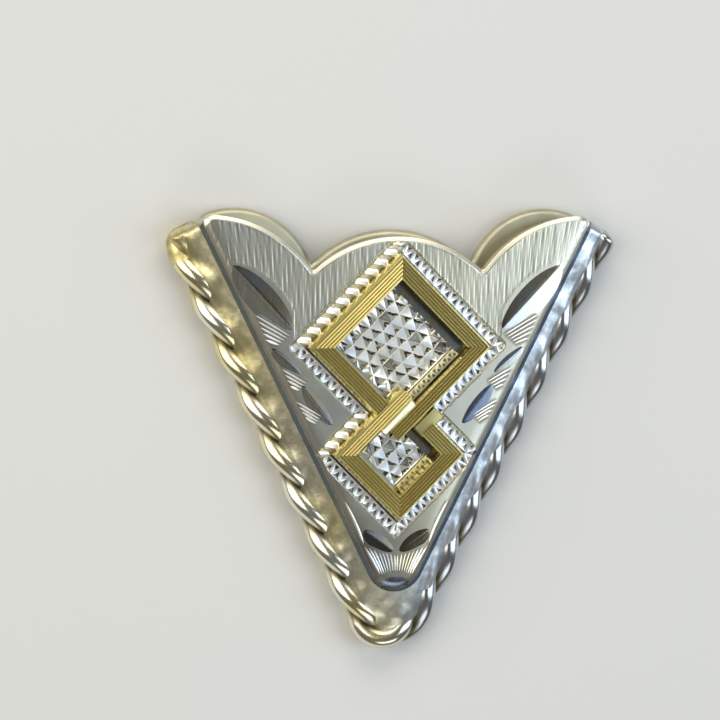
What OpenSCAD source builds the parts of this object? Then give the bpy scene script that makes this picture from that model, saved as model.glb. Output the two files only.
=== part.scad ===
// Collar tip that slides over the point of a shirt collar: a flat silver pocket with a scalloped
// mouth, a twisted wire edge and two interlocked gold squares. It lies on its back, Z up, the
// mouth to +Y. Heights h are measured up the middle line from the point where the two
// straight sides of the pocket would meet, and are moved to the middle of the part at the end.

/* [Pocket] */
// Angle of each straight side to the middle line, degrees
side_angle = 26.5; // [24:0.5:30]
// Radius of the rounded tip at the foot of the front plate
tip_r = 2.6; // [1.8:0.1:3.2]
// Room inside the pocket for the collar cloth
pocket_gap = 1.5; // [1.0:0.1:2.2]
// Gap left at each soldered seam
seam = 0.03; // [0.02:0.01:0.06]

/* [Mouth] */
// Height of the two side lobes of the front plate
lobe_h = 33.8; // [32:0.1:36]
// Drop of the middle lobe below the side lobes
mid_drop = 1.7; // [1.0:0.1:2.6]
// Drop of the two valleys below the side lobes
valley_drop = 4.45; // [3.4:0.05:5.2]
// Distance of each valley from the straight side, level with the side lobes
valley_in = 9.85; // [9:0.05:11]

/* [Front plate] */
// Distance of each side lobe's top from the straight side
front_lobe_in = 1.35; // [0.8:0.05:3]
// Radius of the two upper corners
front_corner_r = 1.2; // [0.6:0.1:1.8]
// Thickness of the front sheet
front_t = 1.0; // [0.7:0.05:1.4]
// Thickness of the turned-down side walls
front_wall = 0.9; // [0.7:0.05:1.4]
// Width of the slope along the sides, seen from above
slope_w = 0.76; // [0.4:0.02:1.0]
// Height of that slope
slope_h = 1.0; // [0.6:0.05:1.3]

/* [Back plate] */
// How far its mouth stands past the front plate's
back_rise = 0.5; // [0.1:0.05:0.8]
// Distance of each of its side lobes' tops from the straight side
back_lobe_in = 4.2; // [3:0.1:5]
// How much nearer the middle line its valleys lie
back_valley_in = 0.65; // [0:0.05:1]
// Radius of the two upper corners of the back plate
back_corner_r = 1.5; // [0.8:0.1:2.0]
// Thickness of the back plate
back_t = 0.6; // [0.5:0.05:1.0]
// Drop of the back plate's underside below the middle of the wire
back_drop = 0.6; // [0.3:0.02:0.7]

/* [Wire edge] */
// Diameter over the two twisted strands
rope_d = 3.0; // [2.4:0.1:3.4]
// Depth to which the strands are flattened against the sides of the pocket
rope_in = 0.15; // [0:0.05:0.4]
// Length of one full twist of the strands
rope_lay = 8.4; // [7:0.1:12]
// Turn of the strands at the left end of the wire, in degrees
rope_start = 72; // [0:1:179]
// Depth of the groove between the strands, as a share of the wire's radius
rope_groove = 0.38; // [0.2:0.02:0.5]
// Bend radius of the wire at the tip
rope_bend_r = 2.15; // [1.8:0.05:3.0]
// Distance of the wire's cut ends below the side lobes
rope_end_drop = 1.2; // [0.5:0.1:3]
// Height of the solder fillet where it meets the wire, above the wire's middle
solder_rise = 0.9; // [0.4:0.05:1.2]

/* [Gold squares] */
// Outer side of the upper square
upper_side = 10.7; // [9:0.1:11.5]
// Distance of its top corner below the edge of the middle lobe
square_drop = 1.23; // [0.5:0.01:3]
// Outer side of the lower square
lower_side = 7.7; // [6.5:0.1:8.5]
// Distance of the two crossings' inner corners from the middle line
crossing_gap = 0.08; // [0.06:0.01:0.8]
// Width of the bars of both squares
bar_w = 1.5; // [1.2:0.05:1.7]
// Height of the bars above the front plate
bar_t = 1.2; // [0.8:0.05:1.6]
// Width of the slope on the outside of the bars
bar_slope = 0.4; // [0.2:0.02:0.6]
// Height of the upright part below that slope
bar_foot = 0.3; // [0.1:0.05:0.6]

/* [Clamp screw] */
// Diameter of the thread
screw_d = 2.0; // [1.6:0.1:2.5]
// Diameter of the head
screw_head_d = 4.6; // [3.8:0.1:5.5]
// Thickness of the head
screw_head_t = 0.6; // [0.4:0.05:0.65]
// Width of the driver slot
screw_slot_w = 0.6; // [0.4:0.05:0.8]
// Depth of the driver slot
screw_slot_d = 0.3; // [0.15:0.05:0.35]
// Reach of the thread into the pocket
screw_reach = 0.4; // [0.2:0.05:0.8]
// Distance of the screw below the back plate's middle lobe
screw_drop = 11.4; // [8:0.1:14]
// Play of the screw in its hole, all round
screw_play = 0.05; // [0.03:0.01:0.1]

/* [Hidden] */

rope_r = rope_d / 2;
rope_out = rope_r - rope_in;
rope_sides = 20;
rings_per_turn = 16;
arc_steps = 12;
eps = 0.01;

// Levels of the faces, from the surface that the wire lies on
back_z0 = rope_r - back_drop;
back_z1 = back_z0 + back_t;
front_z0 = back_z1 + seam;
sheet_z = back_z1 + pocket_gap;
front_z1 = sheet_z + front_t;
slope_z = front_z1 - slope_h;
bar_z0 = front_z1 + seam;
bar_z1 = bar_z0 + bar_t;

// Heights that follow the mouth
back_lobe_h = lobe_h + back_rise;
rope_end_h = lobe_h - rope_end_drop;
screw_h = back_lobe_h - mid_drop - screw_drop;
upper_h = lobe_h - mid_drop - square_drop - upper_side / sqrt(2);
crossing_x = bar_w / sqrt(2) + crossing_gap;
lower_h = upper_h - (upper_side + lower_side) / sqrt(2) + sqrt(2) * bar_w + 2 * crossing_x;
crossing_h = (upper_h + lower_h) / 2 - (upper_side - lower_side) / (2 * sqrt(2));

// Ends of the part along Y, which put its middle at the origin
part_top = back_lobe_h;
part_bottom = tip_h(rope_out, rope_bend_r) - rope_r;
mid_h = (part_top + part_bottom) / 2;

// Half width between the sides at height h, with the sides moved outwards by out
function side_x(h, out) = h * tan(side_angle) + out / cos(side_angle);
// Height of the centre of a tip rounded by r
function tip_centre_h(out, r) = (r - out) / sin(side_angle);
// Height of the lowest point of that tip
function tip_h(out, r) = tip_centre_h(out, r) - r;

function arc(centre, r, from, to, steps) = [
    for (i = [0 : steps])
        let (a = from + (to - from) * i / steps)
        centre + r * [cos(a), sin(a)]
];
function tip_arc(out, r) = arc([0, tip_centre_h(out, r)], r, 180 + side_angle, 360 - side_angle, arc_steps);
function mirrored(points) = [for (i = [len(points) - 1 : -1 : 0]) [-points[i][0], points[i][1]]];
// Angle of the line between two points, from -90 to 270
function direction(from, to) =
    let (a = atan2(to[1] - from[1], to[0] - from[0]))
    a < -90 ? a + 360 : a;

// Radius of an arc from its top to a point that lies across and below it
function lobe_r(across, below) = (across * across + below * below) / (2 * below);

// Centre of the corner circle that touches the side from inside and the lobe from inside
function corner_centre(lobe, r, corner_r) =
    let (
        t = tan(side_angle),
        k = -corner_r / cos(side_angle) - lobe[0],
        a = t * t + 1,
        b = 2 * (t * k - lobe[1]),
        c = k * k + lobe[1] * lobe[1] - pow(r - corner_r, 2),
        h = (-b + sqrt(b * b - 4 * a * c)) / (2 * a)
    )
    [side_x(h, -corner_r), h];

// Right half of the scalloped mouth, from the side inwards to the middle line
function mouth_half(top_h, lobe_in, dip_in, corner_r) =
    let (
        valley = [side_x(top_h, 0) - dip_in, top_h - valley_drop],
        lobe_x = side_x(top_h, 0) - lobe_in,
        side_r = lobe_r(lobe_x - valley[0], valley_drop),
        mid_r = lobe_r(valley[0], valley_drop - mid_drop),
        lobe = [lobe_x, top_h - side_r],
        middle = [0, top_h - mid_drop - mid_r],
        corner = corner_centre(lobe, side_r, corner_r)
    )
    concat(
        arc(corner, corner_r, -side_angle, direction(lobe, corner), arc_steps / 2),
        arc(lobe, side_r, direction(lobe, corner), direction(lobe, valley), arc_steps),
        arc(middle, mid_r, direction(middle, valley), 90, arc_steps)
    );

module scalloped(half) {
    polygon(concat(tip_arc(0, tip_r), half, mirrored(half)));
}

// The sides and the rounded tip as a wedge that is open-ended past the mouth
module wedge(out, r, top) {
    polygon(concat(tip_arc(out, r), [[side_x(top, out), top], [-side_x(top, out), top]]));
}

module placed() {
    translate([0, -mid_h, 0]) children();
}

front_half = mouth_half(lobe_h, front_lobe_in, valley_in, front_corner_r);
back_half = mouth_half(back_lobe_h, back_lobe_in, valley_in + back_valley_in, back_corner_r);
past_mouth = back_lobe_h + 2;

// Front plate: engraved sheet with its sides turned down to the back plate
module front_plate() {
    color("silver") placed() difference() {
        intersection() {
            translate([0, 0, front_z0]) linear_extrude(front_z1 - front_z0) scalloped(front_half);
            union() {
                translate([0, 0, front_z0 - 1]) linear_extrude(slope_z - front_z0 + 1) wedge(1, tip_r + 1, past_mouth);
                hull() {
                    translate([0, 0, slope_z - eps]) linear_extrude(eps) wedge(0, tip_r, past_mouth);
                    translate([0, 0, front_z1]) linear_extrude(eps) wedge(-slope_w, tip_r - slope_w, past_mouth);
                }
            }
        }
        translate([0, 0, front_z0 - 1]) linear_extrude(sheet_z - front_z0 + 1)
            wedge(-front_wall, tip_r - front_wall, past_mouth);
    }
}

// Back plate: flat sheet with its own scallops, bored for the clamp screw
module back_plate() {
    color("gainsboro") placed() difference() {
        translate([0, 0, back_z0]) linear_extrude(back_t) scalloped(back_half);
        translate([0, screw_h, back_z0 - 1]) cylinder(h = back_t + 2, d = screw_d + 2 * screw_play, $fn = 48);
    }
}

// The wire's middle line: down the left side, round the tip and up the right side
rope_bend = [0, tip_centre_h(rope_out, rope_bend_r)];
bend_angle = 180 - 2 * side_angle;
bend_length = rope_bend_r * bend_angle * PI / 180;
straight_length = (rope_end_h - rope_bend[1] + rope_bend_r * sin(side_angle)) / cos(side_angle);
rope_length = 2 * straight_length + bend_length;
half_turns = round(2 * rope_length / rope_lay);
ring_count = round(half_turns * rings_per_turn / 2);

// Outward direction of the wire at length s
function rope_angle(s) =
    s < straight_length ? 180 + side_angle
    : s > straight_length + bend_length ? 360 - side_angle
    : 180 + side_angle + (s - straight_length) / rope_bend_r * 180 / PI;
// How far s lies before the bend, or past it
function rope_run(s) = s < straight_length ? straight_length - s : max(0, s - straight_length - bend_length);
function rope_middle(s) =
    let (
        a = rope_angle(s),
        upwards = s < straight_length ? [-sin(side_angle), cos(side_angle)] : [sin(side_angle), cos(side_angle)]
    )
    rope_bend + rope_bend_r * [cos(a), sin(a)] + rope_run(s) * upwards;
// Radius of the pair of strands at angle a from the line through both
function strand_r(a) = rope_r * max(abs(cos(a)), 1 - rope_groove);
function rope_ring(s) =
    let (
        middle = rope_middle(s),
        out = [cos(rope_angle(s)), sin(rope_angle(s))],
        twist = rope_start + 180 * half_turns * s / rope_length
    )
    [
        for (i = [0 : rope_sides - 1])
            let (
                a = 360 * i / rope_sides,
                r = strand_r(a),
                turned = a + twist
            )
            [each middle + r * cos(turned) * out, rope_r + r * sin(turned)]
    ];

module rope() {
    rings = [for (k = [0 : ring_count]) rope_ring(rope_length * k / ring_count)];
    n = rope_sides;
    skin = [
        for (k = [0 : ring_count - 1], i = [0 : n - 1])
            let (j = (i + 1) % n)
            each [
                [k * n + i, k * n + j, (k + 1) * n + i],
                [k * n + j, (k + 1) * n + j, (k + 1) * n + i]
            ]
    ];
    first = [for (i = [n - 1 : -1 : 0]) i];
    last = [for (i = [0 : n - 1]) ring_count * n + i];
    polyhedron([for (ring = rings) each ring], concat(skin, [first, last]));
}

// Solder that fills between the wire and the walls of the pocket
module solder() {
    solder_z = rope_r + solder_rise;
    difference() {
        intersection() {
            union() {
                translate([0, 0, back_z0]) linear_extrude(solder_z - back_z0) wedge(rope_out, rope_bend_r, past_mouth);
                hull() {
                    translate([0, 0, solder_z - eps]) linear_extrude(eps) wedge(rope_out, rope_bend_r, past_mouth);
                    translate([0, 0, slope_z - eps]) linear_extrude(eps) wedge(2 * seam, tip_r + 2 * seam, past_mouth);
                }
            }
            solder_end(-1);
            solder_end(1);
        }
        translate([0, 0, back_z0 - 1]) linear_extrude(slope_z - back_z0 + 2) wedge(seam, tip_r + seam, past_mouth);
    }
}

// All that lies before the end of the wire, which is cut square to its run; left is -1
module solder_end(side) {
    cut = rope_middle(side < 0 ? 0 : rope_length);
    reach = 2 * rope_end_h;
    translate([cut[0], cut[1], -1]) rotate(-side * side_angle) translate([-reach, -reach, 0])
        cube([2 * reach, reach - seam, slope_z + 2]);
}

// Wire edge: two twisted strands and their solder, one solid
module rope_edge() {
    color("lightgray") placed() difference() {
        union() {
            rope();
            solder();
        }
        translate([0, 0, -1]) linear_extrude(slope_z + 2) wedge(seam, tip_r + seam, past_mouth);
    }
}

// A square of bars set on its corner, sloped outside, with its window open
module square_frame(side, level) {
    window = side - 2 * bar_w;
    translate([0, level, 0]) rotate(45) difference() {
        union() {
            translate([0, 0, bar_z0 + bar_foot / 2]) cube([side, side, bar_foot], center = true);
            hull() {
                translate([0, 0, bar_z0 + bar_foot - eps / 2]) cube([side, side, eps], center = true);
                translate([0, 0, bar_z1 - eps / 2])
                    cube([side - 2 * bar_slope, side - 2 * bar_slope, eps], center = true);
            }
        }
        translate([0, 0, bar_z0]) cube([window, window, 4 * bar_t], center = true);
    }
}

lap_z = bar_z0 + bar_t / 2;

// Room for the other square's bar at a crossing, from level z0 to z1; left is -1, right is 1
module lap(side, z0, z1) {
    room = bar_w + 2 * seam;
    translate([side * crossing_x, crossing_h, z0]) rotate(45) translate([-room / 2, -room / 2, 0])
        cube([room, room, z1 - z0]);
}

// Upper square: its left bar goes under the lower square, its right bar over it
module upper_square() {
    color("gold") placed() difference() {
        square_frame(upper_side, upper_h);
        lap(-1, lap_z - seam / 2, bar_z1 + 1);
        lap(1, bar_z0 - 1, lap_z + seam / 2);
    }
}

// Lower square: its left bar goes over the upper square, its right bar under it
module lower_square() {
    color("goldenrod") placed() difference() {
        square_frame(lower_side, lower_h);
        lap(-1, bar_z0 - 1, lap_z + seam / 2);
        lap(1, lap_z - seam / 2, bar_z1 + 1);
    }
}

// Clamp screw: flat slotted head under the back plate, its thread through the bore
module clamp_screw() {
    head_z = back_z0 - seam - screw_head_t;
    color("darkgray") placed() translate([0, screw_h, 0]) difference() {
        union() {
            translate([0, 0, head_z]) cylinder(h = screw_head_t, d = screw_head_d, $fn = 64);
            translate([0, 0, head_z]) cylinder(h = back_z1 + screw_reach - head_z, d = screw_d, $fn = 48);
        }
        translate([-screw_head_d, -screw_slot_w / 2, head_z - 1])
            cube([2 * screw_head_d, screw_slot_w, screw_slot_d + 1]);
    }
}

front_plate();
back_plate();
rope_edge();
upper_square();
lower_square();
clamp_screw();
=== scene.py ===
# Looks of a collar tip: an engraved silver pocket with a twisted wire edge and two interlocked gold
# squares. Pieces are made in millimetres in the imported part's frame and scaled when they are finished.
import math
import random

import bmesh
import bpy
import numpy as np
from mathutils import Matrix, Vector


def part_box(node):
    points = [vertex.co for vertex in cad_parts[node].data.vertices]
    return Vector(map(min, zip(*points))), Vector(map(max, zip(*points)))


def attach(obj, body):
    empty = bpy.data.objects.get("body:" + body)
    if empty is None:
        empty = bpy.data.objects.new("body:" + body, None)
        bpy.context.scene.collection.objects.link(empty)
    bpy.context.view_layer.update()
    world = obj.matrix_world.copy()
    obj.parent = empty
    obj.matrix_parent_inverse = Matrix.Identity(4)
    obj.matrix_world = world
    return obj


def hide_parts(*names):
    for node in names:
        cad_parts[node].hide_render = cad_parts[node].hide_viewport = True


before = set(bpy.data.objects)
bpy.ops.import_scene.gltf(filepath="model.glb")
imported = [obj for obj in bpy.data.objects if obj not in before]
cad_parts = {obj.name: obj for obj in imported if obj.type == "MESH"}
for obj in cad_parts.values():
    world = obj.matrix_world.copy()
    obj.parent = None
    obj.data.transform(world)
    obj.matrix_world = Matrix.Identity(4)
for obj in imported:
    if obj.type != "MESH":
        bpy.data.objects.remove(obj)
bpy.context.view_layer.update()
scene = bpy.context.scene
mm = 0.001
random.seed(7)
# points closer than this count as one, in mm: in a made grid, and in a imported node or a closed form
gridWeld, nodeWeld = 1e-5, 1e-4
flatWithin = 0.5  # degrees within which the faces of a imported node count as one

# the view of the photograph, mm and degrees
look = {"target": (-2.23, 5.708, 0.0), "left": 13.0, "mouthward": 4.5, "roll": 0.542, "distance": 230.0,
        "angle": 14.51, "clip": (0.01, 10)}


def newObject(name, data):
    made = bpy.data.objects.new(name, data)
    scene.collection.objects.link(made)
    return made


def newMaterial(name):
    material = bpy.data.materials.new(name)
    material.use_nodes = True
    return material, next(n for n in material.node_tree.nodes if n.type == "BSDF_PRINCIPLED")


def placeCamera():
    away = Vector((-math.sin(math.radians(look["left"])), math.sin(math.radians(look["mouthward"])), 0))
    away.z = math.sqrt(1 - away.x ** 2 - away.y ** 2)
    right = Vector((0, 1, 0)).cross(away).normalized()
    up = away.cross(right)
    roll = math.radians(look["roll"])
    right, up = right * math.cos(roll) + up * math.sin(roll), up * math.cos(roll) - right * math.sin(roll)
    data = bpy.data.cameras.new("camera")
    data.angle = math.radians(look["angle"])
    data.clip_start, data.clip_end = look["clip"]
    camera = newObject("camera", data)
    turn = Matrix((right, up, away)).transposed().to_4x4()
    spot = (Vector(look["target"]) + away * look["distance"]) * mm
    camera.matrix_world = Matrix.Translation(spot) @ turn
    scene.camera = camera


placeCamera()
print("camera placed")


# a shader socket that takes part in plain sums
class Shade:
    def __init__(self, tree, socket=None):
        self.tree = tree
        self.socket = socket

    def node(self, kind, settings, inputs, output=0):
        made = self.tree.nodes.new("ShaderNode" + kind)
        for name, value in settings.items():
            if name == "stops":
                ramp = made.color_ramp
                while len(ramp.elements) < len(value):
                    ramp.elements.new(1)
                for element, (place, colour) in zip(ramp.elements, value):
                    element.position = place
                    element.color = colour
            else:
                setattr(made, name, value)
        for name, value in inputs.items():
            if isinstance(value, Shade):
                self.tree.links.new(value.socket, made.inputs[name])
            else:
                made.inputs[name].default_value = value
        return Shade(self.tree, made.outputs[output])

    def sum(self, operation, first, second):
        return self.node("Math", {"operation": operation}, {0: first, 1: second})

    def __add__(self, other):
        return self.sum("ADD", self, other)

    def __radd__(self, other):
        return self.sum("ADD", other, self)

    def __sub__(self, other):
        return self.sum("SUBTRACT", self, other)

    def __mul__(self, other):
        return self.sum("MULTIPLY", self, other)

    def clamped(self):
        return self.node("Clamp", {}, {"Value": self})

    def mix(self, first, second):
        return self.node("Mix", {"data_type": "RGBA"}, {0: self, 6: first, 7: second}, 2)


# what all metals share; each one names its two tones and what else is its own
silver = {"tarnish": (0.12, 0.11, 0.09), "broadScale": 110.0, "coolUntil": 0.38, "warmFrom": 0.62,
          "rightPerMm": 0.25, "rightMiddle": 0.4, "cloudScale": 420.0, "cloudGain": 2.2, "cloudLess": 0.75,
          "cloudy": 0.18, "grainScale": 9000.0, "grain": 0.08, "scratchScale": 5200.0, "scratchSpread": 0.06,
          "scratchTurn": 0.4, "scratch": 0.25, "scratchRough": 0.10, "rough": 0.30, "roughInDark": 0.20,
          "relief": 0.004}


# a metal whose colour, gloss and fine relief vary over the surface
def metal(name, cool, warm, **own):
    finish = {**silver, **own}
    material, shader = newMaterial(name)
    tree = material.node_tree
    shader.inputs["Metallic"].default_value = 1.0
    start = Shade(tree)
    place = start.node("TexCoord", {}, {}, 3)
    broad = start.node("TexNoise", {}, {"Vector": place, "Scale": finish["broadScale"], "Detail": 1.0})
    stops = [(finish["coolUntil"], (*cool, 1)), (finish["warmFrom"], (*warm, 1))]
    tone = start.node("ValToRGB", {"stops": stops}, {"Fac": broad})
    if "right" in finish:
        # painted reflection: goes over into another tone from left to right, the tint that the right side
        # reflects
        across = start.node("SeparateXYZ", {}, {"Vector": place})
        rightShare = (across * (finish["rightPerMm"] / mm) + finish["rightMiddle"]).clamped()
        tone = rightShare.mix(tone, (*finish["right"], 1))
    cloudy = start.node("TexNoise", {}, {"Vector": place, "Scale": finish["cloudScale"], "Detail": 4.0})
    grain = start.node("TexNoise", {}, {"Vector": place, "Scale": finish["grainScale"], "Detail": 3.0})
    stretched = start.node("Mapping", {}, {"Vector": place, "Rotation": (0, 0, finish["scratchTurn"]),
                                           "Scale": (1.0, finish["scratchSpread"], 1.0)})
    scratch = start.node("TexNoise", {}, {"Vector": stretched, "Scale": finish["scratchScale"],
                                          "Detail": 2.0})
    dark = (cloudy * finish["cloudGain"] - finish["cloudLess"]).clamped() * finish["cloudy"]
    # painted shade: darker where an attribute of the piece says so
    if "cutName" in finish:
        cut = start.node("Attribute", {"attribute_name": finish["cutName"]}, {}, 2)
        dark = (dark + cut * finish["cutDark"]).clamped()
    colour = dark.mix(tone, (*finish["tarnish"], 1))
    tree.links.new(colour.socket, shader.inputs["Base Color"])
    rough = finish["rough"] + dark * finish["roughInDark"] + (scratch - 0.5) * finish["scratchRough"]
    tree.links.new(rough.clamped().socket, shader.inputs["Roughness"])
    relief = grain * finish["grain"] + scratch * finish["scratch"]
    bump = start.node("Bump", {}, {"Height": relief, "Strength": 1.0, "Distance": finish["relief"] * mm})
    tree.links.new(bump.socket, shader.inputs["Normal"])
    return material


# its lines, plain parts and the ground round the strokes take painted shade from an attribute of the face
engravedSilver = metal("engraved_silver", cool=(0.72, 0.70, 0.60), warm=(0.80, 0.75, 0.58), rough=0.27,
                       grain=0.03, scratch=0.1, cutName="cut", cutDark=0.85)
# painted shade: dark silver for the pits of the border cuts and the face under the bands
pitSilver = metal("pit_silver", cool=(0.10, 0.11, 0.13), warm=(0.38, 0.35, 0.26), rough=0.26,
                  broadScale=700.0, cloudy=0.5)
# painted shade on the side slopes, going over into a painted blue reflection on the right
slopeSilver = metal("slope_silver", cool=(0.13, 0.16, 0.17), warm=(0.24, 0.24, 0.18), rough=0.25, cloudy=0.4,
                    right=(0.17, 0.24, 0.37))
rimSilver = metal("rim_silver", cool=(0.80, 0.78, 0.66), warm=(0.88, 0.82, 0.62), rough=0.36)
# painted reflection: dark blue silver for parts of the leaves on the right and the face at the tip
blueSilver = metal("blue_silver", cool=(0.19, 0.22, 0.30), warm=(0.25, 0.27, 0.31), rough=0.25, cloudy=0.4,
                   tarnish=(0.05, 0.07, 0.12))
# painted shade: dark silver for the shaded halves of the leaves, the pits of the windows and the windows'
# margins along their right bars
leafDark = metal("leaf_dark", cool=(0.14, 0.15, 0.16), warm=(0.18, 0.15, 0.10), rough=0.20,
                 broadScale=260.0, cloudy=0.35)
# the lighter copy of the leaf silver: painted light on most halves of the leaves away from the mouth and on
# the strokes near the tip; also on a few hollows picked at random
leafLight = metal("leaf_light", cool=(0.54, 0.55, 0.52), warm=(0.60, 0.56, 0.42), rough=0.22,
                  broadScale=260.0, cloudy=0.35)
# painted highlight: near-white silver for the cut ridges, the teeth, the upper strokes and the lit half of
# the large right leaf
ridgeSilver = metal("ridge_silver", cool=(0.90, 0.93, 0.97), warm=(0.98, 0.95, 0.86), rough=0.36,
                    broadScale=300.0, cloudy=0.1)
# painted reflection of the gold bars in the silver: for the ticks along the lower right bars and the face
# beside the upper left bands
warmSilver = metal("warm_silver", cool=(0.84, 0.80, 0.56), warm=(0.90, 0.82, 0.50), rough=0.34,
                   broadScale=600.0, cloudy=0.4)
plainSilver = metal("plain_silver", cool=(0.62, 0.59, 0.44), warm=(0.72, 0.66, 0.46), rough=0.46, cloudy=0.25)
# the strands' yellow tone is a painted reflection of the warm light on the left, their darker grey on the
# right a painted reflection of the dark surround, and their creases take painted shade
strandSilver = metal("strand_silver", cool=(0.96, 0.94, 0.80), warm=(0.95, 0.86, 0.50), rough=0.20,
                     right=(0.55, 0.57, 0.60), tarnish=(0.12, 0.10, 0.05), broadScale=300.0,
                     cutName="groove", cutDark=1.0)
# its blue grey on the right is partly its own tone and partly a painted reflection of the cool light from the
# right
solderSilver = metal("solder_silver", cool=(0.70, 0.68, 0.54), warm=(0.84, 0.74, 0.38), rough=0.34,
                     right=(0.74, 0.80, 0.88), tarnish=(0.13, 0.10, 0.03), cloudScale=1100.0, cloudy=0.75,
                     grainScale=2600.0, grain=1.0, relief=0.02)
# its grooves take painted shade
gold = metal("yellow_gold", cool=(0.84, 0.70, 0.26), warm=(0.97, 0.83, 0.33), rough=0.24, cloudy=0.06,
             tarnish=(0.24, 0.17, 0.045), cutName="cut", cutDark=0.95, grain=0.05, scratch=0.0,
             scratchRough=0.02, relief=0.001)
# painted highlight: near-white gold for the smooth seam at the upper crossing
brightGold = metal("bright_gold", cool=(0.99, 0.95, 0.70), warm=(1.0, 0.98, 0.84), rough=0.32, cloudy=0.06)
dullGold = metal("dull_gold", cool=(0.50, 0.47, 0.22), warm=(0.60, 0.54, 0.24), rough=0.42, cloudy=0.5)
steel = metal("turned_steel", cool=(0.56, 0.57, 0.58), warm=(0.60, 0.59, 0.57), rough=0.28, cloudy=0.5,
              tarnish=(0.22, 0.20, 0.18))
print("metals mixed")

# outline of the pocket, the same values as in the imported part's source
pocket = {"sideAngle": 26.5, "tipRadius": 2.6, "lobeHeight": 33.8, "middleDrop": 1.7, "valleyDrop": 4.45,
          "valleyIn": 9.85, "lobeIn": 1.35, "cornerRadius": 1.2, "slopeWidth": 0.76, "slopeHeight": 1.0}
sideTan = math.tan(math.radians(pocket["sideAngle"]))
sideSin = math.sin(math.radians(pocket["sideAngle"]))
sideCos = math.cos(math.radians(pocket["sideAngle"]))
# gold squares: side of each, drop of the upper one's corner, width of the bars, gap where they cross
squares = {"upper": 10.7, "lower": 7.7, "topDrop": 1.23, "barWidth": 1.5, "crossingGap": 0.08}
rootTwo = math.sqrt(2)
squareTop = pocket["lobeHeight"] - pocket["middleDrop"] - squares["topDrop"]
upperH = squareTop - squares["upper"] / rootTwo
crossX = squares["barWidth"] / rootTwo + squares["crossingGap"]
lowerH = upperH - (squares["upper"] + squares["lower"]) / rootTwo + rootTwo * squares["barWidth"] + 2 * crossX
crossH = (upperH + lowerH) / 2 - (squares["upper"] - squares["lower"]) / (2 * rootTwo)
# height, over the point of the sides, of the middle of the part
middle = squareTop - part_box("upper_square")[1].y / mm
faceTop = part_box("front_plate")[1].z / mm
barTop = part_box("upper_square")[1].z / mm
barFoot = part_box("upper_square")[0].z / mm


def sideX(height, out):
    return height * sideTan + out / sideCos


def tipCentre(out, radius):
    return (radius - out) / sideSin


def arcRadius(across, below):
    return (across * across + below * below) / (2 * below)


def valleyX():
    return sideX(pocket["lobeHeight"], 0) - pocket["valleyIn"]


def lobeArc():
    lobeX = sideX(pocket["lobeHeight"], 0) - pocket["lobeIn"]
    return lobeX, arcRadius(lobeX - valleyX(), pocket["valleyDrop"])


def middleArc():
    radius = arcRadius(valleyX(), pocket["valleyDrop"] - pocket["middleDrop"])
    return pocket["lobeHeight"] - pocket["middleDrop"] - radius, radius


# holds values between 0 and 1
def held(values):
    return np.clip(values, 0, 1)


# height of the scalloped edge over the point of the sides, moved inwards by inset
def mouthHeight(x, inset):
    lobeX, lobeR = lobeArc()
    middleCentre, middleR = middleArc()
    lobe = (lobeR - inset) ** 2 - (np.abs(x) - lobeX) ** 2
    centre = (middleR - inset) ** 2 - x ** 2
    lobe = pocket["lobeHeight"] - lobeR + np.sqrt(np.maximum(lobe, 0))
    centre = middleCentre + np.sqrt(np.maximum(centre, 0))
    soft = face["valleySoft"]
    return soft * np.logaddexp(lobe / soft, centre / soft)


# a grid of vertices that a function of two shares moves into place; a fourth column is kept under a name
def shapedGrid(along, across, place, wrap=False, tag=None):
    made = bmesh.new()
    bmesh.ops.create_grid(made, x_segments=along, y_segments=across, size=1)
    shares = np.array([v.co for v in made.verts])[:, :2] / 2 + 0.5
    placed = place(shares[:, 0], shares[:, 1])
    layer = made.verts.layers.float.new(tag) if tag else None
    for vertex, point in zip(made.verts, placed):
        vertex.co = point[:3]
        if tag:
            vertex[layer] = point[3]
    if wrap:
        bmesh.ops.remove_doubles(made, verts=made.verts, dist=gridWeld)
    return made


# closes an open sheet by walls down to a level and a floor
def closeBelow(made, level):
    rim = [e for e in made.edges if e.is_boundary]
    grown = bmesh.ops.extrude_edge_only(made, edges=rim)["geom"]
    for vertex in (g for g in grown if isinstance(g, bmesh.types.BMVert)):
        vertex.co.z = level
    closeHoles(made)


def closeHoles(made):
    bmesh.ops.holes_fill(made, edges=[e for e in made.edges if e.is_boundary], sides=0)
    bmesh.ops.recalc_face_normals(made, faces=made.faces)


def joinInto(target, made):
    scrap = bpy.data.meshes.new("scrap")
    made.to_mesh(scrap)
    made.free()
    target.from_mesh(scrap)
    bpy.data.meshes.remove(scrap)


# gives faces one of the metals of their piece
def paint(faces, metals, chosen):
    number = metals.index(chosen)
    for one in faces:
        one.material_index = number


def cutAway(made, point, outward):
    geometry = made.verts[:] + made.edges[:] + made.faces[:]
    bmesh.ops.bisect_plane(made, geom=geometry, dist=gridWeld, plane_co=point, plane_no=outward,
                           clear_outer=True)


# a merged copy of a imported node, in millimetres
def copyOf(node):
    made = bmesh.new()
    made.from_mesh(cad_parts[node].data)
    bmesh.ops.scale(made, vec=Vector((1, 1, 1)) / mm, verts=made.verts)
    bmesh.ops.remove_doubles(made, verts=made.verts, dist=nodeWeld)
    bmesh.ops.dissolve_limit(made, angle_limit=math.radians(flatWithin), verts=made.verts, edges=made.edges)
    return made


def climb(edge):
    return abs(edge.verts[0].co.z - edge.verts[1].co.z)


def bevelled(made, edges, width, segments):
    bmesh.ops.bevel(made, geom=edges, offset=width, offset_type="OFFSET", segments=segments, profile=0.5,
                    affect="EDGES", clamp_overlap=True, material=-1)


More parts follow.
